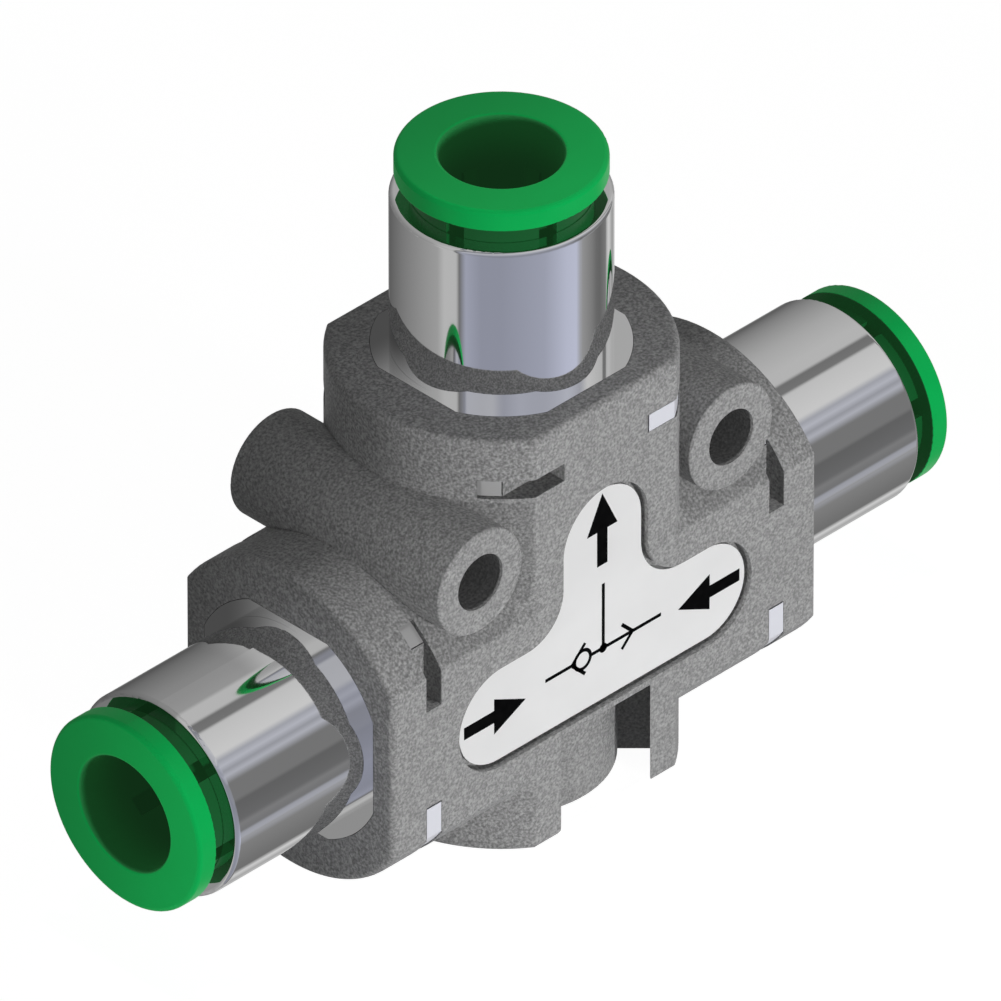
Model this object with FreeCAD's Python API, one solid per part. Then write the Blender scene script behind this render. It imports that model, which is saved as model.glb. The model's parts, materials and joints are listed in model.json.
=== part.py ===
import FreeCAD, Part
import math
import os

# Shuttle valve for compressed air with three push-in ports for 6 mm tube.
# Units are millimetres. X runs from the left inlet to the right inlet, +Z points up the outlet, and
# the labelled front faces -Y. The origin is the middle of the flat base.
# Each port's pieces are drawn upright in a port frame of their own: z = 0 is the body's port face,
# +z points out of the port, and the front of the valve is at -y.

# Tube and release button
TUBE_R = 3.0
TUBE_CLEARANCE = 0.12
STEM_WALL = 1.46
STEM_CLEARANCE = 0.04
BUTTON_RIM = 0.75
BUTTON_HEAD_THICKNESS = 1.13
BUTTON_MOUTH_ROUNDING = 0.22
BUTTON_EDGE_ROUNDING = 0.25
BUTTON_BACK_ROUNDING = 0.06
PRESS_TRAVEL = 1.0
PRESS_SPARE = 0.18
FINGER_COUNT = 6
FINGER_SLOT_WIDTH = 1.0
FINGER_SLOT_ANGLE = 15.0
FINGER_ROOT_DEPTH = 3.0
FINGER_GROOVE_DEPTH = 0.7
FINGER_BARB = 0.28
FINGER_BARB_LENGTH = 1.1
FINGER_BARB_RAMP = 0.75
NOSE_WALL = 0.63
NOSE_TAPER = 0.8

# Sleeve: the plated tube of a port, with its flange sunk flush in the body
SLEEVE_LENGTH = 9.08
LIP_DEPTH = 0.4
LIP_THICKNESS = 0.6
SLEEVE_WALL = 0.55
SLEEVE_EDGE_ROUNDING = 0.25
FLANGE_LIP = 0.93
FLANGE_FLAT_STEP = 0.33
FLANGE_THICKNESS = 1.5
FLANGE_CLEARANCE = 0.03
SLEEVE_CLEARANCE = 0.03
SEAT_DEPTH = 7.75
SEAT_END_GAP = 0.1
SOCKET_CLEARANCE = 0.06
TUBE_STOP_DEPTH = 4.0
TUBE_STEP = 0.8
GLAND_DEPTH = 1.0
SEAT_RING_HEIGHT = 0.35
SEAT_RING_WALL = 0.5

# Pieces inside a sleeve
GLAND_CLEARANCE = 0.03
STACK_GAP = 0.05
TUBE_SEAL_SQUEEZE = 0.15
TUBE_SEAL_LENGTH = 2.3
TUBE_SEAL_CONE = 1.0
GRIP_THICKNESS = 0.25
GRIP_TOOTH_COUNT = 10
GRIP_TOOTH_DROP = 0.5
GRIP_SLIT_WIDTH = 0.3
GRIP_RIM_WIDTH = 1.0
COLLAR_LENGTH = 1.8
COLLAR_WALL = 1.02
COLLAR_CHAMFER = 0.35

# Ring seal and retaining clip of a sleeve
RING_SEAL_SECTION = 0.97
RING_GROOVE_CLEARANCE = 0.015
RING_GROOVE_WIDTH = 1.4
RING_GROOVE_DEPTH = 4.65
CLIP_THICKNESS = 1.0
CLIP_CLEARANCE = 0.03
CLIP_FACE_DEPTH = 2.35
CLIP_GROOVE = 0.67
CLIP_LEG_WIDTH = 2.05
CLIP_MOUTH = 6.0
CLIP_SURFACE_GAP = 0.08
CLIP_SHORT_LEG_STEP = 0.25
CLIP_SHORT_LEG_END = 45.0
CLIP_STOP_GAP_ANGLE = 0.4
CLIP_STOP_DEPTH = 1.25
CLIP_WINDOW_EDGE = 0.1

# Body
ARM_WALL = 3.2
FLAT_WALL = 1.7
CHAMBER_R = 4.2
CHAMBER_LENGTH = 14.0
OUTLET_SHOULDER = 7.6
OUTLET_PASSAGE_R = 3.0
BASE_DROP = 0.49
END_ROUNDING = 0.35
BOSS_WALL = 1.38
BOSS_HOLE_R = 1.55
BOSS_INSET = 0.03
BOSS_LIFT = 0.1
BOSS_ROUNDING = 0.12
POCKET_HEIGHT = 5.99
POCKET_SPREAD = 90.0
POCKET_OUTER_WALL = 0.86
POCKET_WIDTH = 2.18

# Label plate
LABEL_REACH = 7.28
LABEL_LOBE_R = 2.97
LABEL_CORNER_R = 2.5
LABEL_RECESS_DEPTH = 0.75
LABEL_THICKNESS = 0.48
LABEL_GAP = 0.25

# Shuttle
SHUTTLE_TRAVEL = 1.5
SHUTTLE_FIN_CLEARANCE = 0.08
SHUTTLE_FIN_THICKNESS = 1.0
SHUTTLE_FIN_COUNT = 4
SHUTTLE_CORE_R = 2.0
SHUTTLE_NECK_R = 1.25
SHUTTLE_HEAD_R = 1.85
SHUTTLE_HEAD_LENGTH = 0.55
SHUTTLE_HEAD_CHAMFER = 0.3
SHUTTLE_SHOULDER = 0.6
SHUTTLE_SEAL_R = 3.55
SHUTTLE_SEAL_THICKNESS = 1.2
SHUTTLE_SEAL_CLEARANCE = 0.02

# Worked out from the values above
BUTTON_BORE_R = TUBE_R + TUBE_CLEARANCE
STEM_R = BUTTON_BORE_R + STEM_WALL
BUTTON_HEAD_R = STEM_R + BUTTON_RIM
LIP_R = STEM_R + STEM_CLEARANCE
SLEEVE_BORE_R = LIP_R + LIP_DEPTH
SLEEVE_R = SLEEVE_BORE_R + SLEEVE_WALL
FLANGE_R = SLEEVE_R + FLANGE_LIP
FLANGE_FLAT = SLEEVE_R + FLANGE_FLAT_STEP
BODY_BORE_R = SLEEVE_R + SLEEVE_CLEARANCE
CLIP_GROOVE_R = SLEEVE_R - CLIP_GROOVE
CLIP_INNER_R = CLIP_GROOVE_R + CLIP_CLEARANCE
CLIP_HALF_WIDTH = CLIP_INNER_R + CLIP_LEG_WIDTH
RING_GROOVE_R = BODY_BORE_R - RING_SEAL_SECTION - 2 * RING_GROOVE_CLEARANCE
SOCKET_R = TUBE_R + SOCKET_CLEARANCE
FLOW_R = TUBE_R - TUBE_STEP
GLAND_R = SLEEVE_BORE_R - GLAND_CLEARANCE
TUBE_SEAL_R = TUBE_R - TUBE_SEAL_SQUEEZE
TUBE_SEAL_TOP = TUBE_SEAL_LENGTH - GLAND_DEPTH
GRIP_BASE = TUBE_SEAL_TOP + STACK_GAP
GRIP_RIM_R = GLAND_R - GRIP_RIM_WIDTH
COLLAR_BASE = GRIP_BASE + GRIP_THICKNESS + STACK_GAP
COLLAR_TOP = COLLAR_BASE + COLLAR_LENGTH
COLLAR_R = GLAND_R - COLLAR_WALL
NOSE_R = BUTTON_BORE_R + NOSE_WALL
BUTTON_UNDERSIDE = SLEEVE_LENGTH + PRESS_TRAVEL + PRESS_SPARE
BUTTON_FACE = BUTTON_UNDERSIDE + BUTTON_HEAD_THICKNESS
NOSE_TIP = GRIP_BASE + GRIP_THICKNESS + PRESS_TRAVEL
NOSE_SHOULDER = COLLAR_TOP + PRESS_TRAVEL + STACK_GAP

ARM_R = BODY_BORE_R + ARM_WALL
HALF_DEPTH = BODY_BORE_R + FLAT_WALL
PLUG_DEPTH = SEAT_DEPTH + SEAT_END_GAP
HALF_LENGTH = CHAMBER_LENGTH / 2 + PLUG_DEPTH
AXIS_HEIGHT = ARM_R + BASE_DROP
BODY_TOP = AXIS_HEIGHT + OUTLET_SHOULDER + PLUG_DEPTH
BOSS_R = BOSS_HOLE_R + BOSS_WALL
BOSS_X = ARM_R - BOSS_INSET
BOSS_Z = AXIS_HEIGHT + ARM_R + BOSS_LIFT
POCKET_OUTER_R = ARM_R - POCKET_OUTER_WALL
POCKET_INNER_R = POCKET_OUTER_R - POCKET_WIDTH

SEAL_FACE_X = CHAMBER_LENGTH / 2 + SEAT_END_GAP - SEAT_RING_HEIGHT - SHUTTLE_TRAVEL
SEAL_BACK_X = SEAL_FACE_X - SHUTTLE_SEAL_THICKNESS
SHUTTLE_FIN_R = CHAMBER_R - SHUTTLE_FIN_CLEARANCE

# Where each port's face is, and the turn about Y that lays its port frame there
PORTS = {
    "left": (-90, (-HALF_LENGTH, 0, AXIS_HEIGHT)),
    "right": (90, (HALF_LENGTH, 0, AXIS_HEIGHT)),
    "outlet": (0, (0, 0, BODY_TOP)),
}

# The two inlet clips and the outlet clip keep their long leg on these sides of the port frame
CLIP_LONG_SIDE = {"left": -1, "right": 1, "outlet": 1}

# A block or edge that only has to lie outside the valve, and how far a cut runs past a face
FAR = 60.0
OVERSHOOT = 0.5

ORIGIN = FreeCAD.Vector(0, 0, 0)
X_AXIS = FreeCAD.Vector(1, 0, 0)
Y_AXIS = FreeCAD.Vector(0, 1, 0)
Z_AXIS = FreeCAD.Vector(0, 0, 1)


def box(x0, x1, y0, y1, z0, z1):
    """Block between two opposite corners."""
    return Part.makeBox(x1 - x0, y1 - y0, z1 - z0, FreeCAD.Vector(x0, y0, z0))


def rod(radius, z0, z1):
    """Cylinder about the Z axis."""
    return Part.makeCylinder(radius, z1 - z0, FreeCAD.Vector(0, 0, z0), Z_AXIS)


def rod_x(radius, x0, x1, height):
    """Cylinder along X at a height above the base."""
    return Part.makeCylinder(radius, x1 - x0, FreeCAD.Vector(x0, 0, height), X_AXIS)


def rod_y(radius, y0, y1, x, z):
    """Cylinder along Y through a point of the front plane."""
    return Part.makeCylinder(radius, y1 - y0, FreeCAD.Vector(x, y0, z), Y_AXIS)


def turned(outline):
    """Solid of revolution about Z from (radius, height) corners."""
    corners = [FreeCAD.Vector(radius, 0, height) for radius, height in outline]
    wire = Part.makePolygon(corners + corners[:1])
    return Part.Face(wire).revolve(ORIGIN, Z_AXIS, 360)


def round_rims(shape, rims, size):
    """Rounds the circular edges that have the given (radius, height) about Z."""
    edges = []
    for edge in shape.Edges:
        if edge.Curve.TypeId != "Part::GeomCircle":
            continue
        centre = edge.Curve.Center
        for radius, height in rims:
            if abs(edge.Curve.Radius - radius) < 1e-4 and abs(centre.z - height) < 1e-4:
                edges.append(edge)
    return shape.makeFillet(size, edges)


def round_end(shape, axis, place, size):
    """Rounds every edge that lies in the plane where a coordinate has one value."""
    edges = []
    for edge in shape.Edges:
        limits = edge.BoundBox
        low = getattr(limits, axis + "Min")
        high = getattr(limits, axis + "Max")
        if abs(low - place) < 1e-4 and abs(high - place) < 1e-4:
            edges.append(edge)
    return shape.makeFillet(size, edges)


def at_port(shape, port):
    """Copy of a port-frame shape, laid at one of the three ports."""
    turn, face = PORTS[port]
    placed = shape.copy()
    where = FreeCAD.Placement(FreeCAD.Vector(*face), FreeCAD.Rotation(Y_AXIS, turn))
    placed.Placement = where.multiply(shape.Placement)
    return placed


def wedge(start, end, z0, z1):
    """Triangular wedge from the Z axis outwards, between two azimuths in degrees."""
    corners = [FreeCAD.Vector(0, 0, z0)]
    for azimuth in (start, end):
        angle = math.radians(azimuth)
        corners.append(FreeCAD.Vector(FAR * math.cos(angle), FAR * math.sin(angle), z0))
    face = Part.Face(Part.makePolygon(corners + corners[:1]))
    return face.extrude(FreeCAD.Vector(0, 0, z1 - z0))


def flatted_disc(radius, flat, z0, z1):
    """Round disc with four flats, the outline of a sleeve's flange."""
    return rod(radius, z0, z1).common(box(-flat, flat, -flat, flat, z0, z1))


def label_outline(lobe_r, corner_r, y0, y1):
    """T-shaped slab: three round lobes joined by two bars with rounded inner corners."""
    reach = LABEL_REACH
    slab = box(-reach, reach, y0, y1, AXIS_HEIGHT - lobe_r, AXIS_HEIGHT + lobe_r)
    slab = slab.fuse(box(-lobe_r, lobe_r, y0, y1, AXIS_HEIGHT, AXIS_HEIGHT + reach))
    for x, z in ((-reach, AXIS_HEIGHT), (reach, AXIS_HEIGHT), (0, AXIS_HEIGHT + reach)):
        slab = slab.fuse(rod_y(lobe_r, y0, y1, x, z))
    for side in (-1, 1):
        corner_x = side * (lobe_r + corner_r)
        corner_z = AXIS_HEIGHT + lobe_r + corner_r
        web = box(min(side * lobe_r, corner_x), max(side * lobe_r, corner_x),
                  y0, y1, AXIS_HEIGHT + lobe_r, corner_z)
        slab = slab.fuse(web.cut(rod_y(corner_r, y0, y1, corner_x, corner_z)))
    return slab.removeSplitter()


def arm_stock():
    """Round inlet and outlet arms, cut by the front and back flats, with softened ends."""
    slab = box(-FAR, FAR, -HALF_DEPTH, HALF_DEPTH, -FAR, FAR)
    inlets = rod_x(ARM_R, -HALF_LENGTH, HALF_LENGTH, AXIS_HEIGHT).common(slab)
    for end in (-HALF_LENGTH, HALF_LENGTH):
        inlets = round_end(inlets, "X", end, END_ROUNDING)
    outlet = rod(ARM_R, 0, BODY_TOP).common(slab)
    for end in (0, BODY_TOP):
        outlet = round_end(outlet, "Z", end, END_ROUNDING)
    return inlets.fuse(outlet)


def mounting_boss(side):
    """Round tube for a mounting screw, in the corner between an inlet and the outlet."""
    boss = rod_y(BOSS_R, -HALF_DEPTH, HALF_DEPTH, side * BOSS_X, BOSS_Z)
    for end in (-HALF_DEPTH, HALF_DEPTH):
        boss = round_end(boss, "Y", end, BOSS_ROUNDING)
    return boss


def base_pocket(side):
    """Curved pocket in the base, between the middle boss and the outer wall."""
    pocket = rod(POCKET_OUTER_R, -OVERSHOOT, POCKET_HEIGHT)
    pocket = pocket.cut(rod(POCKET_INNER_R, -OVERSHOOT, POCKET_HEIGHT))
    middle = side * 90
    half = POCKET_SPREAD / 2
    return pocket.common(wedge(middle - half, middle + half, -OVERSHOOT, POCKET_HEIGHT))


def past_short_leg(long_side, end_angle, z0, z1):
    """Wedge from the front centre of a port round to where its clip's short leg ends."""
    start, end = sorted((-90, -90 - long_side * end_angle))
    return wedge(start, end, z0, z1)


def clip_slot(long_side):
    """Cross slot for a clip in the port frame, open at the back and through two front windows."""
    top = -CLIP_FACE_DEPTH + CLIP_CLEARANCE
    bottom = top - CLIP_THICKNESS - 2 * CLIP_CLEARANCE
    reach = CLIP_HALF_WIDTH + CLIP_CLEARANCE
    wall = CLIP_MOUTH / 2 - CLIP_WINDOW_EDGE
    slot = box(-reach, reach, -FAR, FAR, bottom, top)
    slot = slot.cut(box(-wall, wall, -FAR, -CLIP_INNER_R / 2, bottom, top))
    # The short leg meets a stop, whose flat face is the floor of the window in front of it
    stop = past_short_leg(long_side, CLIP_SHORT_LEG_END - CLIP_STOP_GAP_ANGLE, bottom, top)
    return slot.cut(stop.common(box(-FAR, FAR, -HALF_DEPTH + CLIP_STOP_DEPTH, 0, bottom, top)))


def port_cut(long_side):
    """What each port takes out of the body: flange seat, sleeve bore and clip slot."""
    flange = flatted_disc(FLANGE_R + FLANGE_CLEARANCE, FLANGE_FLAT + FLANGE_CLEARANCE,
                          -FLANGE_THICKNESS, OVERSHOOT)
    bore = rod(BODY_BORE_R, -PLUG_DEPTH, 0)
    return flange.fuse(bore).fuse(clip_slot(long_side))


def valve_body():
    """Moulded body: three arms, two mounting bosses, base pockets, bores and label recess."""
    body = arm_stock()
    for side in (-1, 1):
        body = body.fuse(mounting_boss(side))
    body = body.removeSplitter()
    for port, long_side in CLIP_LONG_SIDE.items():
        body = body.cut(at_port(port_cut(long_side), port))
    chamber_end = CHAMBER_LENGTH / 2 + OVERSHOOT
    body = body.cut(rod_x(CHAMBER_R, -chamber_end, chamber_end, AXIS_HEIGHT))
    body = body.cut(rod(OUTLET_PASSAGE_R, AXIS_HEIGHT, BODY_TOP - PLUG_DEPTH + OVERSHOOT))
    outside = HALF_DEPTH + OVERSHOOT
    for side in (-1, 1):
        body = body.cut(rod_y(BOSS_HOLE_R, -outside, outside, side * BOSS_X, BOSS_Z))
        body = body.cut(base_pocket(side))
    floor = -HALF_DEPTH + LABEL_RECESS_DEPTH
    return body.cut(label_outline(LABEL_LOBE_R, LABEL_CORNER_R, -outside, floor))


def label_plate():
    """Flat label that lies on the floor of the recess."""
    floor = -HALF_DEPTH + LABEL_RECESS_DEPTH
    lobe_r = LABEL_LOBE_R - LABEL_GAP
    corner_r = LABEL_CORNER_R + LABEL_GAP
    return label_outline(lobe_r, corner_r, floor - LABEL_THICKNESS, floor)


def sleeve():
    """Plated sleeve of a port: outer tube, flush flange, clip and ring seal grooves, valve seat."""
    groove_top = -CLIP_FACE_DEPTH + CLIP_CLEARANCE
    groove_bottom = groove_top - CLIP_THICKNESS - 2 * CLIP_CLEARANCE
    ring_bottom = -RING_GROOVE_DEPTH - RING_GROOVE_WIDTH
    lip_base = SLEEVE_LENGTH - LIP_THICKNESS
    shell = turned([
        (FLOW_R, -SEAT_DEPTH - SEAT_RING_HEIGHT),
        (FLOW_R + SEAT_RING_WALL, -SEAT_DEPTH - SEAT_RING_HEIGHT),
        (FLOW_R + SEAT_RING_WALL, -SEAT_DEPTH),
        (SLEEVE_R, -SEAT_DEPTH),
        (SLEEVE_R, ring_bottom),
        (RING_GROOVE_R, ring_bottom),
        (RING_GROOVE_R, -RING_GROOVE_DEPTH),
        (SLEEVE_R, -RING_GROOVE_DEPTH),
        (SLEEVE_R, groove_bottom),
        (CLIP_GROOVE_R, groove_bottom),
        (CLIP_GROOVE_R, groove_top),
        (SLEEVE_R, groove_top),
        (SLEEVE_R, SLEEVE_LENGTH),
        (LIP_R, SLEEVE_LENGTH),
        (LIP_R, lip_base),
        (SLEEVE_BORE_R, lip_base - LIP_DEPTH),
        (SLEEVE_BORE_R, -GLAND_DEPTH),
        (SOCKET_R, -GLAND_DEPTH),
        (SOCKET_R, -TUBE_STOP_DEPTH),
        (FLOW_R, -TUBE_STOP_DEPTH),
    ])
    shell = round_rims(shell, [(SLEEVE_R, SLEEVE_LENGTH)], SLEEVE_EDGE_ROUNDING)
    flange = flatted_disc(FLANGE_R, FLANGE_FLAT, -FLANGE_THICKNESS, 0)
    return shell.fuse(flange.cut(rod(SLEEVE_BORE_R + SLEEVE_WALL / 2, -FLANGE_THICKNESS, 0)))


def release_button():
    """Release button: ring head, and a stem split into springy fingers with barbs and a thin nose."""
    barb_top = SLEEVE_LENGTH - LIP_THICKNESS - LIP_DEPTH - STACK_GAP
    barb_base = barb_top - FINGER_BARB_LENGTH
    button = turned([
        (BUTTON_BORE_R, NOSE_TIP),
        (NOSE_R, NOSE_TIP),
        (NOSE_R, NOSE_SHOULDER),
        (STEM_R, NOSE_SHOULDER + NOSE_TAPER),
        (STEM_R, barb_base),
        (STEM_R + FINGER_BARB, barb_base + FINGER_BARB_RAMP),
        (STEM_R + FINGER_BARB, barb_top),
        (STEM_R, barb_top),
        (STEM_R, BUTTON_UNDERSIDE),
        (BUTTON_HEAD_R, BUTTON_UNDERSIDE),
        (BUTTON_HEAD_R, BUTTON_FACE),
        (BUTTON_BORE_R, BUTTON_FACE),
    ])
    button = round_rims(button, [(BUTTON_HEAD_R, BUTTON_FACE)], BUTTON_EDGE_ROUNDING)
    button = round_rims(button, [(BUTTON_BORE_R, BUTTON_FACE)], BUTTON_MOUTH_ROUNDING)
    button = round_rims(button, [(BUTTON_HEAD_R, BUTTON_UNDERSIDE)], BUTTON_BACK_ROUNDING)
    # Each slot splits the stem up to its root, and goes on as a groove up to the head
    half_width = FINGER_SLOT_WIDTH / 2
    root = BUTTON_FACE - FINGER_ROOT_DEPTH
    groove_floor = STEM_R - FINGER_GROOVE_DEPTH
    for number in range(FINGER_COUNT):
        slot = box(BUTTON_BORE_R / 2, BUTTON_HEAD_R, -half_width, half_width, NOSE_TIP, root)
        groove = box(groove_floor, BUTTON_HEAD_R, -half_width, half_width, root, BUTTON_UNDERSIDE)
        slot = slot.fuse(groove)
        slot.rotate(ORIGIN, Z_AXIS, FINGER_SLOT_ANGLE + number * 360 / FINGER_COUNT)
        button = button.cut(slot)
    return button


def tube_seal():
    """Rubber ring that grips the tube, with a cone under the teeth of the grip ring."""
    return turned([
        (TUBE_SEAL_R, -GLAND_DEPTH),
        (GLAND_R, -GLAND_DEPTH),
        (GLAND_R, TUBE_SEAL_TOP),
        (GRIP_RIM_R, TUBE_SEAL_TOP),
        (TUBE_SEAL_R, TUBE_SEAL_TOP - TUBE_SEAL_CONE),
    ])


def grip_ring():
    """Spring steel ring with teeth that lean inwards and bite the tube."""
    top = GRIP_BASE + GRIP_THICKNESS
    ring = turned([
        (GLAND_R, GRIP_BASE),
        (GLAND_R, top),
        (GRIP_RIM_R, top),
        (TUBE_SEAL_R, top - GRIP_TOOTH_DROP),
        (TUBE_SEAL_R, GRIP_BASE - GRIP_TOOTH_DROP),
        (GRIP_RIM_R, GRIP_BASE),
    ])
    for number in range(GRIP_TOOTH_COUNT):
        slit = box(0, GRIP_RIM_R, -GRIP_SLIT_WIDTH / 2, GRIP_SLIT_WIDTH / 2, -GLAND_DEPTH, COLLAR_BASE)
        slit.rotate(ORIGIN, Z_AXIS, number * 360 / GRIP_TOOTH_COUNT)
        ring = ring.cut(slit)
    return ring


def collar():
    """Pressed ring that holds the grip ring down on the tube seal and guides the button's nose."""
    return turned([
        (COLLAR_R, COLLAR_BASE),
        (GLAND_R, COLLAR_BASE),
        (GLAND_R, COLLAR_TOP),
        (COLLAR_R + COLLAR_CHAMFER, COLLAR_TOP),
        (COLLAR_R, COLLAR_TOP - COLLAR_CHAMFER),
    ])


def ring_seal():
    """Ring seal between a sleeve and its bore in the body."""
    radius = RING_GROOVE_R + RING_GROOVE_CLEARANCE + RING_SEAL_SECTION / 2
    height = -RING_GROOVE_DEPTH - RING_GROOVE_WIDTH / 2
    return Part.makeTorus(radius, RING_SEAL_SECTION / 2, FreeCAD.Vector(0, 0, height), Z_AXIS)


def retaining_clip(long_side):
    """Flat steel fork pushed in from the back: the long leg hooks round the sleeve, the other is short."""
    top = -CLIP_FACE_DEPTH
    bottom = top - CLIP_THICKNESS
    back = HALF_DEPTH - CLIP_SURFACE_GAP
    plate = box(-CLIP_HALF_WIDTH, CLIP_HALF_WIDTH, -HALF_DEPTH, back, bottom, top)
    plate = plate.common(rod(ARM_R - CLIP_SURFACE_GAP, bottom, top))
    plate = plate.cut(rod(CLIP_INNER_R, bottom, top))
    plate = plate.cut(box(-CLIP_MOUTH / 2, CLIP_MOUTH / 2, -FAR, 0, bottom, top))
    # The short leg ends on a radial line and lies a little further inside the round arm
    plate = plate.cut(past_short_leg(long_side, CLIP_SHORT_LEG_END, bottom, top))
    low_x, high_x = sorted((0, -long_side * FAR))
    short_side = box(low_x, high_x, -FAR, 0, bottom, top)
    return plate.cut(short_side.cut(rod(ARM_R - CLIP_SHORT_LEG_STEP, bottom, top)))


def shuttle_spool():
    """Shuttle that slides between the two inlet seats, with guide fins and a head at each end."""
    tip_x = SEAL_FACE_X + SHUTTLE_HEAD_LENGTH
    back_x = SEAL_BACK_X - SHUTTLE_SEAL_CLEARANCE
    half = [
        (SHUTTLE_HEAD_R - SHUTTLE_HEAD_CHAMFER, tip_x),
        (SHUTTLE_HEAD_R, tip_x - SHUTTLE_HEAD_CHAMFER),
        (SHUTTLE_HEAD_R, SEAL_FACE_X + SHUTTLE_SEAL_CLEARANCE),
        (SHUTTLE_NECK_R, SEAL_FACE_X + SHUTTLE_SEAL_CLEARANCE),
        (SHUTTLE_NECK_R, back_x),
        (SHUTTLE_SEAL_R, back_x),
        (SHUTTLE_SEAL_R, back_x - SHUTTLE_SHOULDER),
        (SHUTTLE_CORE_R, back_x - SHUTTLE_SHOULDER),
    ]
    other_half = [(radius, -place) for radius, place in half]
    spool = turned([(0, -tip_x)] + other_half + half[::-1] + [(0, tip_x)])
    for number in range(SHUTTLE_FIN_COUNT):
        fin = box(0, FAR, -SHUTTLE_FIN_THICKNESS / 2, SHUTTLE_FIN_THICKNESS / 2, -back_x, back_x)
        fin = fin.common(rod(SHUTTLE_FIN_R, -back_x, back_x))
        fin.rotate(ORIGIN, Z_AXIS, (number + 0.5) * 360 / SHUTTLE_FIN_COUNT)
        spool = spool.fuse(fin)
    return along_chamber(spool)


def along_chamber(shape):
    """Lays a shape drawn about Z along the inlet axis, with its +Z towards the right inlet."""
    placed = shape.copy()
    where = FreeCAD.Placement(FreeCAD.Vector(0, 0, AXIS_HEIGHT), FreeCAD.Rotation(Y_AXIS, 90))
    placed.Placement = where.multiply(shape.Placement)
    return placed


def shuttle_seal(side):
    """Rubber disc on one end of the shuttle, which closes the seat of that inlet."""
    inner = SHUTTLE_NECK_R + SHUTTLE_SEAL_CLEARANCE
    low, high = sorted((side * SEAL_BACK_X, side * SEAL_FACE_X))
    disc = rod(SHUTTLE_SEAL_R, low, high).cut(rod(inner, low, high))
    return along_chamber(disc)


def all_pieces():
    """Every piece of the valve, by node name."""
    pieces = {"valve_body": valve_body(), "label_plate": label_plate()}
    makers = {
        "sleeve": sleeve,
        "release_button": release_button,
        "grip_ring": grip_ring,
        "collar": collar,
        "tube_seal": tube_seal,
        "ring_seal": ring_seal,
    }
    for kind, make in makers.items():
        shape = make()
        for port in PORTS:
            pieces[port + "_" + kind] = at_port(shape, port)
    for port, long_side in CLIP_LONG_SIDE.items():
        pieces[port + "_retaining_clip"] = at_port(retaining_clip(long_side), port)
    pieces["shuttle_spool"] = shuttle_spool()
    pieces["shuttle_seal_left"] = shuttle_seal(-1)
    pieces["shuttle_seal_right"] = shuttle_seal(1)
    return pieces


os.makedirs("parts", exist_ok=True)
for name, shape in all_pieces().items():
    solid = shape.Solids[0]
    solid.exportStep("parts/" + name + ".step")
    print(name, len(shape.Solids), "solid, valid:", shape.isValid(), "volume:", round(solid.Volume, 3))
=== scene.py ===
import json
import math

import bpy
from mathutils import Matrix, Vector


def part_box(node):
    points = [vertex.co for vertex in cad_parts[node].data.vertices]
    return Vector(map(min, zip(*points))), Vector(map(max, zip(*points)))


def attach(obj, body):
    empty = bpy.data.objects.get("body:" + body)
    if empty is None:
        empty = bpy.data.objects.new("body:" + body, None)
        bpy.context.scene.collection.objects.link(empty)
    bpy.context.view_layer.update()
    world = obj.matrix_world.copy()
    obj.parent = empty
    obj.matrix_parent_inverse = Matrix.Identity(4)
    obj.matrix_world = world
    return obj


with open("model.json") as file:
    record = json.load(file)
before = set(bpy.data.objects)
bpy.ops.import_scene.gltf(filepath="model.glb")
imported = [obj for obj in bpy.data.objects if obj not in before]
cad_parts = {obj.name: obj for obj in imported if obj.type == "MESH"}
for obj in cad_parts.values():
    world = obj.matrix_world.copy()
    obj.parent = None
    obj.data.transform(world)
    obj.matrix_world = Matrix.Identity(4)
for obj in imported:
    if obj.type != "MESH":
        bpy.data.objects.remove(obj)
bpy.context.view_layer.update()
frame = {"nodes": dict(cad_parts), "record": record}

MM = 0.001

# Camera: the photograph is an isometric view, so a very long lens stands far away
PHOTO_WIDTH_MM = 49.53
VIEW_TARGET_MM = (-0.027, 0.043, 15.076)
SENSOR_MM = 36.0
LENS_MM = 1400.0

# Sizes of the model that the materials and the print go by
AXIS_HEIGHT_MM = sum(corner[2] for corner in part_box("left_release_button")) / 2 / MM
HEAD_THICKNESS_MM = 1.13
SLEEVE_LENGTH_MM = 9.08
BUTTON_BORE_MM = 3.12

# Where a look begins and where it is full, as pairs: radii from a port's axis in millimetres. The button's rim,
# face and stem pairs bound painted light and painted shade.
SLEEVE_WALL_MM = (5.05, 5.15)
BUTTON_RIM_MM = (5.1, 5.25)
BUTTON_FACE_MM = (BUTTON_BORE_MM + 0.02, BUTTON_BORE_MM + 0.14)
STEM_PAINTED_SHADE_MM = (BUTTON_BORE_MM + 0.1, BUTTON_BORE_MM + 0.4)
# The same along a port in millimetres: below a sleeve's end, above its flange, below a button's face, where the
# bore's painted shade darkens, and above the back of its head
SLEEVE_END_MM = (0.06, 0.03)
FLANGE_FACE_MM = (0.05, 0.01)
BORE_PAINTED_SHADE_MM = (3.4, 0.4)
HEAD_BACK_MM = (0.01, 0.04)
# The same for distances to the left, and to the left and up added together, in millimetres; both bound painted
# shade, on the left sleeve and on the clips' short legs
LEFT_SLEEVE_MM = (17.0, 19.0)
CLIP_LEGS_PAINTED_SHADE_MM = (22.0, 26.0)
# The same along Y in metres, where the front is negative: these bound painted shade on the sleeves and painted
# light on the button heads
FLANGE_PAINTED_SHADE_Y = (-0.001, 0.0045)
SLEEVE_BACK_PAINTED_SHADE_Y = (-0.00144, -0.00116)
PAINTED_HEAD_LIGHT_Y = (0.0055, -0.0055)

# Strength of the painted light on the buttons: on the stem and in the bore, what the head adds at its back, what
# its front adds to that, and what its rim lacks of it
PAINTED_STEM_LIGHT = 0.25
PAINTED_HEAD_BACK_LIGHT = 0.345
PAINTED_HEAD_FRONT_LIGHT = 0.32
PAINTED_RIM_LIGHT_LOSS = 0.24

# Noise seldom leaves this range
NOISE_LOW = 0.3
NOISE_HIGH = 0.7

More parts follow.
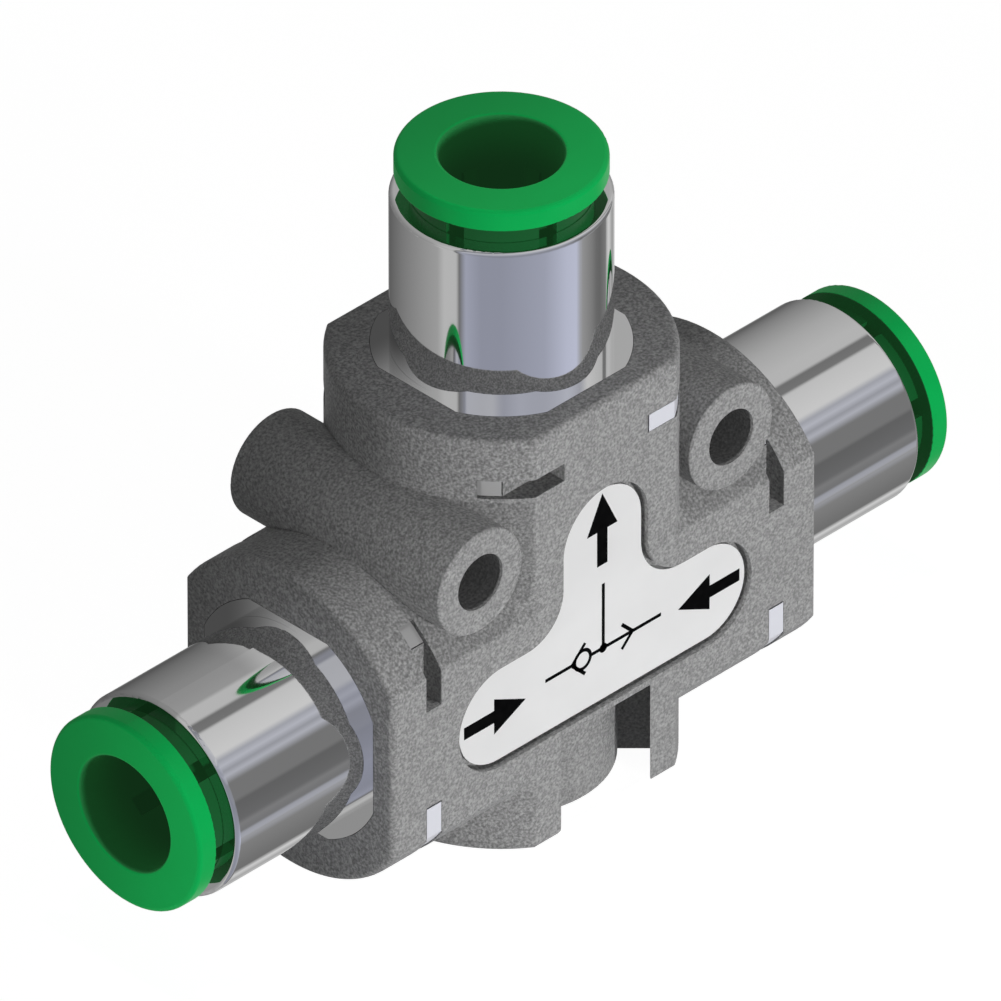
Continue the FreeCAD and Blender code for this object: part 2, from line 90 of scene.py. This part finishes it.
# Fading lamps, in metres: how far off they are, the radius of their pool of light, its centre in front of the
# valve, the lamp's own radius, and how much of the pool is its soft edge
FADE_DISTANCE = 1.0
FADE_REACH = 0.077
FADE_CENTRE = (0.0, -0.074, 0.012)
FADE_LAMP_R = 0.015
FADE_BLEND = 0.4

# Levels of the world's light and of the floor
MIRROR_LEVEL = 1.05
SOFT_LEVEL = 0.11
FLOOR_GLOW = 0.95

# Label print, measured on the label plate in millimetres from the crossing of the port axes
ARROW_LENGTH = 4.3
ARROW_HEAD_LENGTH = 2.2
ARROW_HEAD_HALF = 1.06
ARROW_SHAFT_HALF = 0.36
ARROW_REACH = 9.65
LINE_WIDTH = 0.2
SYMBOL_X = 0.08
SYMBOL_HEIGHT = 0.35
SYMBOL_REACH = 4.05
SYMBOL_STEM_TOP = 4.25
BALL_X = -1.45
BALL_R = 0.55
SEAT_X = (-2.2, 2.05)
SEAT_REACH = (0.93, 0.75)
DOT_R = 0.27
OUTLET_ARROW_LIFT = 0.08
CIRCLE_STEPS = 48
INK_THICKNESS = 0.012


def colour(red, green, blue):
    """Colour as seen on screen, turned into linear light."""
    def linear(value):
        return value / 12.92 if value <= 0.04045 else ((value + 0.055) / 1.055) ** 2.4
    return linear(red), linear(green), linear(blue), 1.0


def grey(level):
    """Neutral screen grey as linear light."""
    return colour(level, level, level)


# Colours of painted light: a faint green glow painted inside the bores and the sleeves, and a brighter one on the
# button heads
PAINTED_BORE_LIGHT = colour(0.15, 0.36, 0.19)
PAINTED_HEAD_LIGHT = colour(0.02, 0.5, 0.22)


def math_node(tree, operation, *inputs):
    """Result of a math node over sockets and numbers."""
    node = tree.nodes.new("ShaderNodeMath")
    node.operation = operation
    for index, value in enumerate(inputs):
        if isinstance(value, (int, float)):
            node.inputs[index].default_value = value
        else:
            tree.links.new(value, node.inputs[index])
    return node.outputs[0]


class Material:
    """A Principled material with a few short ways to add noise, ramps and bump."""

    def __init__(self, name, base, roughness, metallic=0.0):
        self.material = bpy.data.materials.new(name)
        self.material.use_nodes = True
        self.tree = self.material.node_tree
        self.nodes = self.tree.nodes
        self.links = self.tree.links
        self.shader = self.nodes["Principled BSDF"]
        self.shader.inputs["Base Color"].default_value = base
        self.shader.inputs["Roughness"].default_value = roughness
        self.shader.inputs["Metallic"].default_value = metallic
        self.place = self.nodes.new("ShaderNodeTexCoord").outputs["Object"]

    def noise(self, size_mm, detail=2.0, roughness=0.5, stretch=None):
        """Noise whose features are about size_mm across, as a 0 to 1 value."""
        texture = self.nodes.new("ShaderNodeTexNoise")
        texture.inputs["Scale"].default_value = 1.0 / (size_mm * MM)
        texture.inputs["Detail"].default_value = detail
        texture.inputs["Roughness"].default_value = roughness
        place = self.place
        if stretch:
            mapping = self.nodes.new("ShaderNodeMapping")
            mapping.inputs["Scale"].default_value = stretch
            self.links.new(self.place, mapping.inputs["Vector"])
            place = mapping.outputs["Vector"]
        self.links.new(place, texture.inputs["Vector"])
        return texture.outputs["Fac"]

    def ramp(self, value, stops):
        """Colour ramp over a 0 to 1 value."""
        ramp = self.nodes.new("ShaderNodeValToRGB")
        fill_ramp(ramp.color_ramp, stops)
        self.links.new(value, ramp.inputs["Fac"])
        return ramp.outputs["Color"]

    def mottle(self, size_mm, dark, light):
        """Noise between two colours."""
        return self.ramp(self.noise(size_mm), [(NOISE_LOW, dark), (NOISE_HIGH, light)])

    def range(self, value, low, high):
        """Spreads the middle of a noise value between two numbers."""
        spread = self.nodes.new("ShaderNodeMapRange")
        spread.inputs["From Min"].default_value = NOISE_LOW
        spread.inputs["From Max"].default_value = NOISE_HIGH
        spread.inputs["To Min"].default_value = low
        spread.inputs["To Max"].default_value = high
        self.links.new(value, spread.inputs["Value"])
        return spread.outputs["Result"]

    def bump(self, value, height_mm, strength):
        """Adds a bump of a given height."""
        bump = self.nodes.new("ShaderNodeBump")
        bump.inputs["Strength"].default_value = strength
        bump.inputs["Distance"].default_value = height_mm * MM
        self.links.new(value, bump.inputs["Height"])
        self.links.new(bump.outputs["Normal"], self.shader.inputs["Normal"])

    def math(self, operation, *inputs):
        """Result of a math node in this material."""
        return math_node(self.tree, operation, *inputs)

    def off_axis(self, port_axis):
        """Distance from a port's axis in millimetres."""
        apart = self.nodes.new("ShaderNodeVectorMath")
        apart.operation = "SUBTRACT"
        apart.inputs[1].default_value = (0, 0, AXIS_HEIGHT_MM * MM)
        self.links.new(self.place, apart.inputs[0])
        flat = self.nodes.new("ShaderNodeVectorMath")
        flat.operation = "MULTIPLY"
        flat.inputs[1].default_value = (0, 1, 1) if port_axis == "X" else (1, 1, 0)
        self.links.new(apart.outputs["Vector"], flat.inputs[0])
        length = self.nodes.new("ShaderNodeVectorMath")
        length.operation = "LENGTH"
        self.links.new(flat.outputs["Vector"], length.inputs[0])
        return self.math("MULTIPLY", length.outputs["Value"], 1000.0)

    def along_axis(self, port_axis):
        """Distance from the valve's middle plane (X) or its base (Z) along a port in millimetres."""
        return self.math("MULTIPLY", self.math("ABSOLUTE", self.split(port_axis)), 1000.0)

    def split(self, axis):
        """One coordinate of the place in metres."""
        split = self.nodes.new("ShaderNodeSeparateXYZ")
        self.links.new(self.place, split.inputs["Vector"])
        return split.outputs[axis]

    def height(self):
        """Height above the base in millimetres."""
        return self.math("MULTIPLY", self.split("Z"), 1000.0)

    def leftwards(self):
        """Distance to the left of the valve's middle plane in millimetres."""
        return self.math("MULTIPLY", self.split("X"), -1000.0)

    def step(self, value, low, high):
        """Rises smoothly from 0 to 1 as a value goes from low to high."""
        rise = self.nodes.new("ShaderNodeMapRange")
        rise.interpolation_type = "SMOOTHSTEP"
        rise.inputs["From Min"].default_value = low
        rise.inputs["From Max"].default_value = high
        self.links.new(value, rise.inputs["Value"])
        return rise.outputs["Result"]

    def mix(self, factor, first, second):
        """Blend of two colours, each a constant or a socket."""
        blend = self.nodes.new("ShaderNodeMix")
        blend.data_type = "RGBA"
        self.links.new(factor, blend.inputs["Factor"])
        for name, value in (("A", first), ("B", second)):
            if isinstance(value, tuple):
                blend.inputs[name].default_value = value
            else:
                self.links.new(value, blend.inputs[name])
        return blend.outputs["Result"]

    def drive(self, value, socket):
        """Links a value to one of the shader's sockets."""
        self.links.new(value, self.shader.inputs[socket])

    def rolling_grain(self, low, high):
        """Roughness of rolled strip, with a grain that is drawn out along X."""
        self.drive(self.range(self.noise(0.2, stretch=(0.2, 1.0, 1.0)), low, high), "Roughness")


def fill_ramp(ramp, stops):
    """Sets a colour ramp's stops from (place, colour) pairs."""
    ramp.elements[0].position = stops[0][0]
    ramp.elements[0].color = stops[0][1]
    ramp.elements[1].position = stops[-1][0]
    ramp.elements[1].color = stops[-1][1]
    for position, shade in stops[1:-1]:
        ramp.elements.new(position).color = shade


def body_composite():
    """Dark grey moulded plastic with a fine, slightly mottled grain."""
    made = Material("body_composite", grey(0.56), 0.8)
    made.shader.inputs["Specular IOR Level"].default_value = 0.5
    # Faint painted light: a small white glow that lifts the shade in holes and pockets
    made.shader.inputs["Emission Color"].default_value = (1, 1, 1, 1)
    made.shader.inputs["Emission Strength"].default_value = 0.01
    grain = made.noise(0.145, detail=2.0, roughness=0.55)
    stops = [(NOISE_LOW, grey(0.41)), (0.5, grey(0.55)), (NOISE_HIGH, grey(0.69))]
    made.drive(made.ramp(grain, stops), "Base Color")
    made.drive(made.range(grain, 0.72, 0.88), "Roughness")
    made.bump(grain, 0.02, 0.5)
    return made.material


def plated_sleeve(name, port_axis, end_mm):
    """Bright nickel plate with painted shade on the flange's back and on the left sleeve's back, dark metal in the
    bore, and a faint painted green light inside.
    """
    made = Material(name, grey(0.97), 0.03, metallic=1.0)
    outside = made.step(made.off_axis(port_axis), *SLEEVE_WALL_MM)
    along = made.along_axis(port_axis)
    at_end = made.step(along, *(end_mm - below for below in SLEEVE_END_MM))
    plated = made.math("MAXIMUM", outside, at_end)
    in_flange = made.step(along, *(end_mm - SLEEVE_LENGTH_MM + above for above in FLANGE_FACE_MM))
    # Painted shade: the flange's back darkens towards the back, and the left sleeve's back is darker
    flange_painted_shade = made.math("MULTIPLY", in_flange, made.step(made.split("Y"), *FLANGE_PAINTED_SHADE_Y))
    on_left = made.step(made.leftwards(), *LEFT_SLEEVE_MM)
    left_back_painted_shade = made.math("MULTIPLY", on_left, made.step(made.split("Y"), *SLEEVE_BACK_PAINTED_SHADE_Y))
    painted_flange_shade_colour = grey(0.51) if port_axis == "X" else grey(0.44)
    plate = made.mix(flange_painted_shade, made.mix(left_back_painted_shade, grey(0.97), grey(0.812)), painted_flange_shade_colour)
    made.drive(made.mix(plated, grey(0.35), plate), "Base Color")
    worn = made.range(made.noise(1.6), 0.02, 0.05)
    inside = made.math("SUBTRACT", 1.0, plated)
    made.drive(made.math("MULTIPLY_ADD", inside, 0.4, worn), "Roughness")
    # Painted reflection: a faint green glow inside the sleeve stands in for the green button mirrored there
    made.shader.inputs["Emission Color"].default_value = PAINTED_BORE_LIGHT
    made.drive(made.math("MULTIPLY", inside, 0.2), "Emission Strength")
    return made.material


def green_button(name, port_axis, face_mm):
    """Green plastic with painted light on its ring head, strongest at the front and weakest on the rim, a faint
    painted light on the stem and in the bore, and painted shade that darkens the bore further from its face and the
    stem behind the head.
    """
    made = Material(name, colour(0.09, 0.62, 0.3), 0.3)
    made.shader.inputs["Specular IOR Level"].default_value = 0.15
    off_axis = made.off_axis(port_axis)
    along = made.along_axis(port_axis)
    head = made.step(along, *(face_mm - HEAD_THICKNESS_MM + above for above in HEAD_BACK_MM))
    lit = made.math("MULTIPLY", head, made.step(off_axis, *BUTTON_FACE_MM))
    # Painted shade: the bore gets darker further from the face, and the stem behind the head is darker still
    painted_bore_shade = made.step(along, *(face_mm - below for below in BORE_PAINTED_SHADE_MM))
    bore = made.mix(painted_bore_shade, colour(0.05, 0.2, 0.1), colour(0.16, 0.57, 0.3))
    bore_and_stem_painted_shade = made.mix(made.step(off_axis, *STEM_PAINTED_SHADE_MM), bore, colour(0.05, 0.32, 0.15))
    bright = made.mottle(2.5, colour(0.02, 0.57, 0.27), colour(0.035, 0.6, 0.29))
    made.drive(made.mix(lit, bore_and_stem_painted_shade, bright), "Base Color")
    made.drive(made.mix(lit, PAINTED_BORE_LIGHT, PAINTED_HEAD_LIGHT), "Emission Color")
    # Painted light on the head, stronger towards the front and weaker on its rim, over a faint painted glow on the
    # stem and in the bore
    painted_front_light = made.step(made.split("Y"), *PAINTED_HEAD_LIGHT_Y)
    painted_face_light = made.math("MULTIPLY_ADD", painted_front_light, PAINTED_HEAD_FRONT_LIGHT, PAINTED_HEAD_BACK_LIGHT)
    painted_rim_loss = made.math("MULTIPLY", made.step(off_axis, *BUTTON_RIM_MM), PAINTED_RIM_LIGHT_LOSS)
    glow = made.math("SUBTRACT", painted_face_light, painted_rim_loss)
    made.drive(made.math("MULTIPLY_ADD", lit, glow, PAINTED_STEM_LIGHT), "Emission Strength")
    return made.material


def label_white():
    """Smooth satin label."""
    made = Material("label_white", grey(0.9), 0.4)
    made.drive(made.mottle(3.0, grey(0.96), grey(0.975)), "Base Color")
    return made.material


def label_ink():
    """Black label print."""
    made = Material("label_ink", grey(0.02), 0.5)
    made.shader.inputs["Specular IOR Level"].default_value = 0.05
    made.drive(made.mottle(0.4, grey(0.0), grey(0.03)), "Base Color")
    return made.material


def spring_steel():
    """Bright steel strip with a faint rolling grain."""
    made = Material("spring_steel", grey(0.8), 0.3, metallic=0.35)
    made.rolling_grain(0.24, 0.36)
    return made.material


def clip_steel():
    """Bright stamped edges, with painted shade on the short legs' rounded ends up and to the left."""
    made = Material("clip_steel", grey(0.96), 0.4, metallic=0.12)
    # Painted shade: the short legs' rounded ends up and to the left are darker
    tip_painted_shade = made.step(made.math("ADD", made.leftwards(), made.height()), *CLIP_LEGS_PAINTED_SHADE_MM)
    made.drive(made.mix(tip_painted_shade, colour(0.96, 0.965, 0.995), grey(0.7)), "Base Color")
    made.rolling_grain(0.34, 0.46)
    return made.material


def turned_brass():
    """Turned brass."""
    made = Material("collar_brass", colour(0.5, 0.4, 0.24), 0.45, metallic=1.0)
    made.drive(made.range(made.noise(0.3), 0.4, 0.5), "Roughness")
    return made.material


def seal_rubber():
    """Black nitrile rubber."""
    made = Material("seal_rubber", grey(0.12), 0.55)
    made.drive(made.mottle(0.5, grey(0.1), grey(0.15)), "Base Color")
    return made.material


def shuttle_acetal():
    """White acetal."""
    made = Material("shuttle_acetal", grey(0.88), 0.35)
    made.drive(made.mottle(1.0, grey(0.86), grey(0.9)), "Base Color")
    return made.material


def dress_nodes():
    """Gives every node of the model its material, by the record's material slots."""
    by_slot = {
        "body_composite": body_composite(),
        "label_white": label_white(),
        "spring_steel": spring_steel(),
        "clip_steel": clip_steel(),
        "collar_brass": turned_brass(),
        "seal_rubber": seal_rubber(),
        "shuttle_acetal": shuttle_acetal(),
    }
    inlet_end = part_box("left_sleeve")[0][0] / -MM
    inlet_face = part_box("left_release_button")[0][0] / -MM
    outlet_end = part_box("outlet_sleeve")[1][2] / MM
    outlet_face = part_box("outlet_release_button")[1][2] / MM
    inlet_sleeve = plated_sleeve("plated_sleeve_inlet", "X", inlet_end)
    outlet_sleeve = plated_sleeve("plated_sleeve_outlet", "Z", outlet_end)
    inlet_button = green_button("green_button_inlet", "X", inlet_face)
    outlet_button = green_button("green_button_outlet", "Z", outlet_face)
    for part in frame["record"]["subparts"]:
        node = part["node"]
        slot = part["material_slot"]
        if slot == "plated_sleeve":
            material = outlet_sleeve if node.startswith("outlet") else inlet_sleeve
        elif slot == "green_button":
            material = outlet_button if node.startswith("outlet") else inlet_button
        else:
            material = by_slot[slot]
        piece = frame["nodes"][node]
        piece.data.materials.clear()
        piece.data.materials.append(material)


def circle(x, z, radius):
    """Points round a circle in the label's plane."""
    turns = [2 * math.pi * step / CIRCLE_STEPS for step in range(CIRCLE_STEPS)]
    return [(x + radius * math.cos(turn), z + radius * math.sin(turn)) for turn in turns]


def stroke(start, end):
    """Corners of a straight printed line in the label's plane."""
    along = (Vector(end) - Vector(start)).normalized()
    side = Vector((-along.y, along.x)) * LINE_WIDTH / 2
    corners = [Vector(start) - side, Vector(end) - side, Vector(end) + side, Vector(start) + side]
    return [tuple(corner) for corner in corners]


def arrow(tail, heading):
    """Outline of an arrow from its tail, along a heading in the label's plane."""
    along = Vector(heading)
    side = Vector((-along.y, along.x))
    neck = ARROW_LENGTH - ARROW_HEAD_LENGTH
    outline = [(0, -ARROW_SHAFT_HALF), (neck, -ARROW_SHAFT_HALF), (neck, -ARROW_HEAD_HALF), (ARROW_LENGTH, 0),
               (neck, ARROW_HEAD_HALF), (neck, ARROW_SHAFT_HALF), (0, ARROW_SHAFT_HALF)]
    return [tuple(Vector(tail) + along * far + side * off) for far, off in outline]


def ink_piece(name, outlines, material, surface_y):
    """Thin raised print on the label, from closed outlines that run counterclockwise in its plane."""
    points = []
    faces = []
    for outline in outlines:
        count = len(outline)
        front = list(range(len(points), len(points) + count))
        back = [corner + count for corner in front]
        for y in (surface_y - INK_THICKNESS * MM, surface_y):
            points += [(x * MM, y, (AXIS_HEIGHT_MM + z) * MM) for x, z in outline]
        faces += [front, back[::-1]]
        for here in range(count):
            after = (here + 1) % count
            faces.append([front[here], back[here], back[after], front[after]])
    data = bpy.data.meshes.new(name)
    data.from_pydata(points, [], faces)
    data.materials.append(material)
    piece = bpy.data.objects.new(name, data)
    bpy.context.scene.collection.objects.link(piece)
    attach(piece, "housing")


def ring_outlines(x, z, radius):
    """A printed ring as a row of small four-cornered outlines."""
    outer = circle(x, z, radius + LINE_WIDTH / 2)
    inner = circle(x, z, radius - LINE_WIDTH / 2)
    following = [(step + 1) % CIRCLE_STEPS for step in range(CIRCLE_STEPS)]
    return [[inner[step], outer[step], outer[after], inner[after]] for step, after in enumerate(following)]


def label_print():
    """The label's arrows and its shuttle valve symbol."""
    surface_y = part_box("label_plate")[0][1]
    ink = label_ink()
    outlet_tail = ARROW_REACH - ARROW_LENGTH + OUTLET_ARROW_LIFT
    ink_piece("arrow_left", [arrow((-ARROW_REACH, 0), (1, 0))], ink, surface_y)
    ink_piece("arrow_right", [arrow((ARROW_REACH, 0), (-1, 0))], ink, surface_y)
    ink_piece("arrow_outlet", [arrow((0, outlet_tail), (0, 1))], ink, surface_y)
    x = SYMBOL_X
    z = SYMBOL_HEIGHT
    ball = x + BALL_X
    lines = [
        stroke((x - SYMBOL_REACH, z), (x + SEAT_X[0], z)),
        stroke((ball + BALL_R, z), (x + SYMBOL_REACH, z)),
        stroke((x, z), (x, SYMBOL_STEM_TOP)),
        circle(x, z, DOT_R),
    ]
    for side, seat, arm in zip((1, -1), SEAT_X, SEAT_REACH):
        for up in (-1, 1):
            lines.append(stroke((x + seat, z), (x + seat + side * arm, z + up * arm)))
    ink_piece("symbol_lines", lines, ink, surface_y)
    ink_piece("symbol_ball", ring_outlines(ball, z, BALL_R), ink, surface_y)


def make_camera():
    """Isometric camera, from the front left and above."""
    back = Vector((-1, -1, 1)).normalized()
    half_angle = math.atan(SENSOR_MM / 2 / LENS_MM)
    distance = PHOTO_WIDTH_MM * MM / 2 / math.tan(half_angle)
    data = bpy.data.cameras.new("camera")
    data.lens = LENS_MM
    data.sensor_width = SENSOR_MM
    data.clip_start = 0.1
    data.clip_end = 20.0
    camera = bpy.data.objects.new("camera", data)
    camera.location = Vector(VIEW_TARGET_MM) * MM + back * distance
    camera.rotation_euler = (-back).to_track_quat("-Z", "Y").to_euler()
    bpy.context.scene.collection.objects.link(camera)
    bpy.context.scene.camera = camera


def aim(name, data, towards):
    """Puts a lamp into the scene, turned the way its light goes."""
    lamp = bpy.data.objects.new(name, data)
    lamp.rotation_euler = Vector(towards).to_track_quat("-Z", "Y").to_euler()
    bpy.context.scene.collection.objects.link(lamp)
    return lamp


def sun(name, towards, level, softness_deg):
    """Sun lamp that gives a face turned squarely to it the stated level of light."""
    data = bpy.data.lights.new(name, "SUN")
    data.energy = level * math.pi
    data.angle = math.radians(softness_deg)
    return aim(name, data, towards)


def soft_sun(name, towards, level, softness_deg):
    """Sun lamp that mirrors don't show."""
    sun(name, towards, level, softness_deg).visible_glossy = False


def sheen_light(name, towards, level, softness_deg):
    """Sun lamp that only gives the body's rough surface its broad gloss, so that it fades where the body curves."""
    lamp = sun(name, towards, level, softness_deg)
    lamp.visible_diffuse = False
    receivers = bpy.data.collections.new(name + "_receivers")
    receivers.objects.link(frame["nodes"]["valve_body"])
    lamp.light_linking.receiver_collection = receivers


def fading_light(name, towards, level):
    """Spot along a port axis whose soft edge falls across the valve, so that light fades to the back."""
    data = bpy.data.lights.new(name, "SPOT")
    data.energy = level * 4 * math.pi ** 2 * FADE_DISTANCE ** 2
    data.shadow_soft_size = FADE_LAMP_R
    data.spot_size = 2 * math.atan(FADE_REACH / FADE_DISTANCE)
    data.spot_blend = FADE_BLEND
    lamp = aim(name, data, towards)
    lamp.location = Vector(FADE_CENTRE) - Vector(towards) * FADE_DISTANCE
    lamp.visible_glossy = False


# Bright and dark cards round the object, which only mirror-like surfaces show, as (degrees, screen level) of their
# edges. The first ring of cards stands about the inlet axis, the second about the outlet axis. The levels were read
# off the photograph's sleeves and then rounded to steps of 5, and the tints below were read off them too.
INLET_CARDS = [
    (-180, 125), (-157, 90), (-150, 100), (-131, 190), (-111, 165), (-99, 205), (-90, 110),
    (-53, 125), (-43, 165), (-38, 155), (-35, 110), (-27, 120), (-22, 100), (-3, 95), (1, 115), (19, 115),
    (27, 175), (32, 150), (38, 180), (44, 160), (50, 200), (77, 190), (80, 115), (89, 110), (92, 180),
    (105, 180), (135, 165), (180, 125),
]
OUTLET_CARDS = [
    (-180, 110), (-145, 135), (-114, 155), (-106, 180), (-92, 180), (-89, 105), (-82, 160), (-66, 145),
    (-45, 145), (0, 160), (25, 185), (38, 190), (45, 145), (60, 125), (69, 105), (76, 100), (89, 120),
    (92, 180), (98, 205), (109, 155), (115, 155), (122, 195), (132, 195), (139, 110), (148, 110), (155, 90),
    (180, 110),
]

# Stretches of the cards that are a little blue, as (first degree, last degree, strength), and what the blue adds to
# each channel
INLET_TINTS = [(-45, -37, 0.5), (26, 45, 0.5)]
OUTLET_TINTS = [(-85, 42, 1.0)]
BLUE = (-0.03, -0.01, 0.09)


def card_stops(cards, tints):
    """Colour ramp stops of a ring of cards."""
    stops = []
    for degrees, level in cards:
        blue = sum(strength for first, last, strength in tints if first < degrees < last)
        channels = [level / 255 * (1 + share * blue) for share in BLUE]
        stops.append((degrees / 360 + 0.5, colour(*channels)))
    return stops


def world_light():
    """White to the camera, cards of light and dark to mirrors, and an even soft light to all else."""
    world = bpy.data.worlds.new("studio")
    bpy.context.scene.world = world
    world.use_nodes = True
    nodes = world.node_tree.nodes
    links = world.node_tree.links
    nodes.clear()

    def over(operation, *inputs):
        return math_node(world.node_tree, operation, *inputs)

    def card_ring(side, up, cards, tints):
        turn = over("MULTIPLY_ADD", over("ARCTAN2", side, up), 0.5 / math.pi, 0.5)
        ramp = nodes.new("ShaderNodeValToRGB")
        fill_ramp(ramp.color_ramp, card_stops(cards, tints))
        links.new(turn, ramp.inputs["Fac"])
        return ramp.outputs["Color"]

    direction = nodes.new("ShaderNodeTexCoord").outputs["Generated"]
    split = nodes.new("ShaderNodeSeparateXYZ")
    links.new(direction, split.inputs["Vector"])
    x, y, z = split.outputs["X"], split.outputs["Y"], split.outputs["Z"]
    front = over("MULTIPLY", y, -1.0)
    inlet = card_ring(z, front, INLET_CARDS, INLET_TINTS)
    outlet = card_ring(x, front, OUTLET_CARDS, OUTLET_TINTS)
    # A sleeve mirrors only directions that lean from its axis as the isometric view does
    lean = 3 ** -0.5
    from_inlet = over("ABSOLUTE", over("SUBTRACT", x, lean))
    from_outlet = over("ABSOLUTE", over("ADD", z, lean))
    never_zero = 1e-4
    both = over("ADD", over("ADD", from_inlet, from_outlet), never_zero)
    blend = nodes.new("ShaderNodeMix")
    blend.data_type = "RGBA"
    links.new(over("DIVIDE", from_inlet, both), blend.inputs["Factor"])
    links.new(inlet, blend.inputs["A"])
    links.new(outlet, blend.inputs["B"])
    mirror = nodes.new("ShaderNodeBackground")
    mirror.inputs["Strength"].default_value = MIRROR_LEVEL
    links.new(blend.outputs["Result"], mirror.inputs["Color"])
    soft = nodes.new("ShaderNodeBackground")
    soft.inputs["Color"].default_value = (1, 1, 1, 1)
    soft.inputs["Strength"].default_value = SOFT_LEVEL
    white = nodes.new("ShaderNodeBackground")
    white.inputs["Color"].default_value = (1, 1, 1, 1)
    paths = nodes.new("ShaderNodeLightPath")
    seen_in_mirror = nodes.new("ShaderNodeMixShader")
    links.new(paths.outputs["Is Glossy Ray"], seen_in_mirror.inputs["Fac"])
    links.new(soft.outputs["Background"], seen_in_mirror.inputs[1])
    links.new(mirror.outputs["Background"], seen_in_mirror.inputs[2])
    seen_by_camera = nodes.new("ShaderNodeMixShader")
    links.new(paths.outputs["Is Camera Ray"], seen_by_camera.inputs["Fac"])
    links.new(seen_in_mirror.outputs["Shader"], seen_by_camera.inputs[1])
    links.new(white.outputs["Background"], seen_by_camera.inputs[2])
    out = nodes.new("ShaderNodeOutputWorld")
    links.new(seen_by_camera.outputs["Shader"], out.inputs["Surface"])


def make_floor():
    """Pale floor, which the camera sees as white with a faint shadow, and which lets the level lamps through."""
    mesh = bpy.data.meshes.new("floor")
    reach = 4.0
    corners = [(-reach, -reach, 0), (reach, -reach, 0), (reach, reach, 0), (-reach, reach, 0)]
    mesh.from_pydata(corners, [], [(0, 1, 2, 3)])
    material = bpy.data.materials.new("floor")
    material.use_nodes = True
    tree = material.node_tree
    shader = tree.nodes["Principled BSDF"]
    shader.inputs["Base Color"].default_value = (0.35, 0.35, 0.35, 1)
    shader.inputs["Roughness"].default_value = 0.9
    shader.inputs["Specular IOR Level"].default_value = 0.0
    shader.inputs["Emission Color"].default_value = (1, 1, 1, 1)
    paths = tree.nodes.new("ShaderNodeLightPath")
    glow = math_node(tree, "MULTIPLY", paths.outputs["Is Camera Ray"], FLOOR_GLOW)
    tree.links.new(glow, shader.inputs["Emission Strength"])
    mesh.materials.append(material)
    floor = bpy.data.objects.new("floor", mesh)
    floor.visible_glossy = False
    floor.visible_shadow = False
    bpy.context.scene.collection.objects.link(floor)


dress_nodes()
label_print()
make_camera()
soft_sun("front_light", (0.0, 1.0, -0.03), 0.68, 8)
soft_sun("back_fill", (-0.4, -1.0, 0.6), 0.7, 20)
sheen_light("body_sheen", (-1, 1, 1), 0.85, 50)
fading_light("left_light", (1, 0, 0), 0.55)
fading_light("top_light", (0, 0, -1), 0.45)
world_light()
make_floor()

bpy.context.scene.view_settings.view_transform = "Standard"
